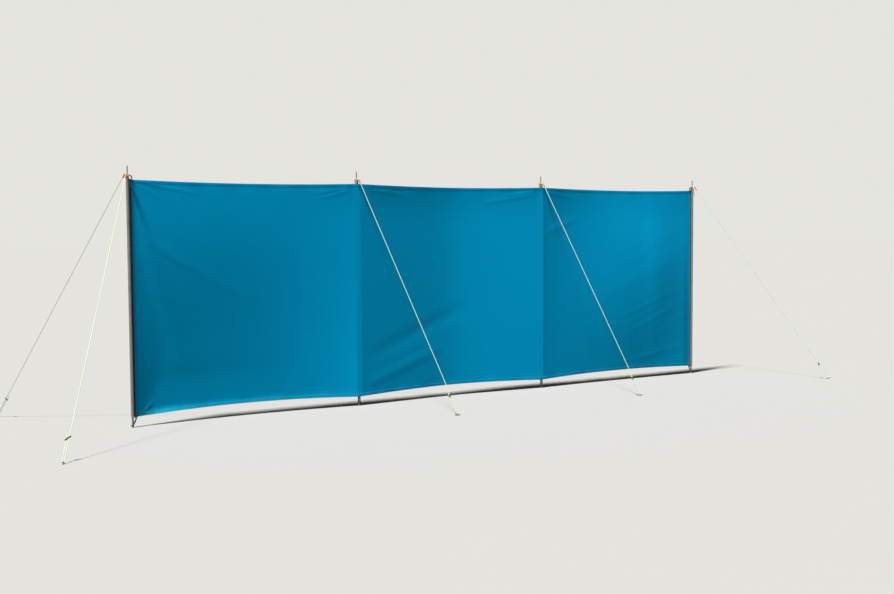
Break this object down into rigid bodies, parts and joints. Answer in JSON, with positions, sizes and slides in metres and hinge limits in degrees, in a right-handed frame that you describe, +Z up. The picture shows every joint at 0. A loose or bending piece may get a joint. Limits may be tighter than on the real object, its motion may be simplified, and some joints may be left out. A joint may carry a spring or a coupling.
{
  "type": "beach windbreak",
  "caption": "Low cloth wall in bays between slim steel poles with bare top pins, held upright by guy ropes to both sides that run through sliders to pegs.",
  "frame": {"origin": "middle of the left end pole's foot, on the ground, as seen from the front", "axes": "+X along the row towards the right end pole, -Y the front, the side that people sit on, +Z up"},
  "size_m": [5.7248, 1.7524, 1.541],
  "materials": {
    "cloth": "plain coated polyester weave, petrol blue, low sheen",
    "webbing": "black woven webbing and black covered elastic cord",
    "pole_steel": "dull zinc-plated steel tube",
    "pin_steel": "bright drawn steel, dulled",
    "foot_steel": "bright turned steel, rubbed by sand",
    "rope": "braided cord, warm beige",
    "slider_plastic": "black moulded plastic",
    "peg_steel": "zinc-plated wire"
  },
  "bodies": {
    "root": {"cloth_bay_1": "cloth", "cloth_bay_2": "cloth", "cloth_bay_3": "cloth", "pole_1": "pole_steel", "pole_2": "pole_steel", "pole_3": "pole_steel", "pole_4": "pole_steel", "pole_pin_1": "pin_steel", "pole_pin_2": "pin_steel", "pole_pin_3": "pin_steel", "pole_pin_4": "pin_steel", "foot_cap_1": "foot_steel", "foot_cap_2": "foot_steel", "foot_cap_3": "foot_steel", "foot_cap_4": "foot_steel", "webbing_1": "webbing", "webbing_2": "webbing", "webbing_3": "webbing", "webbing_4": "webbing", "pole_sleeve_2": "cloth", "pole_sleeve_3": "cloth", "guy_rope_front_1": "rope", "guy_rope_front_2": "rope", "guy_rope_front_3": "rope", "guy_rope_front_4": "rope", "guy_rope_back_1": "rope", "guy_rope_back_2": "rope", "guy_rope_back_3": "rope", "guy_rope_back_4": "rope", "slider_front_1": "slider_plastic", "slider_front_2": "slider_plastic", "slider_front_3": "slider_plastic", "slider_front_4": "slider_plastic", "slider_back_1": "slider_plastic", "slider_back_2": "slider_plastic", "slider_back_3": "slider_plastic", "slider_back_4": "slider_plastic", "peg_front_1": "peg_steel", "peg_front_2": "peg_steel", "peg_front_3": "peg_steel", "peg_front_4": "peg_steel", "peg_back_1": "peg_steel", "peg_back_2": "peg_steel", "peg_back_3": "peg_steel", "peg_back_4": "peg_steel"}
  },
  "joints": []
}
